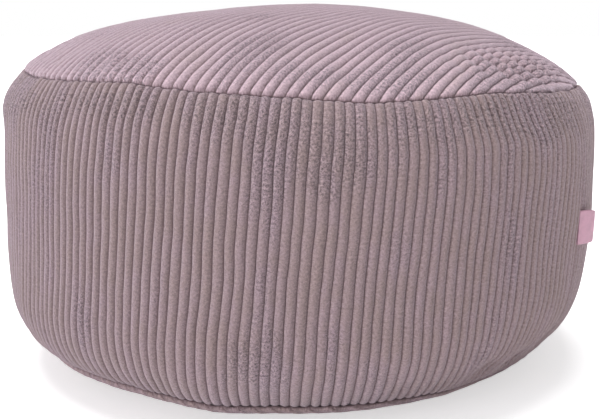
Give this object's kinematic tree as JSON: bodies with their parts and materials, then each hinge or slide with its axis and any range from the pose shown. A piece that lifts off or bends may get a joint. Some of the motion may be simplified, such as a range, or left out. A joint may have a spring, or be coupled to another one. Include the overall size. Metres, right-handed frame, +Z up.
{
  "type": "corduroy bean bag pouf",
  "caption": "Low round bean bag covered in wide-wale corduroy, with crowned top, sewn side band, flat base and a blank folded side label.",
  "frame": {"origin": "bottom centre of the whole box, on the floor", "axes": "+Z up through the crowned top; front, with the lower dip of the top seam, towards -Y; label at the right, +X"},
  "size_m": [0.5208, 0.5204, 0.3052],
  "materials": {
    "side_corduroy": "dusty mauve wide-wale corduroy, pile brushed",
    "top_corduroy": "dusty mauve wide-wale corduroy, pile brushed",
    "base_corduroy": "dusty mauve wide-wale corduroy, pressed flat",
    "label_satin": "pale pink woven satin, blank"
  },
  "bodies": {
    "root": {"side_panel": "side_corduroy", "top_panel": "top_corduroy", "base_panel": "base_corduroy", "side_label": "label_satin"}
  },
  "joints": []
}
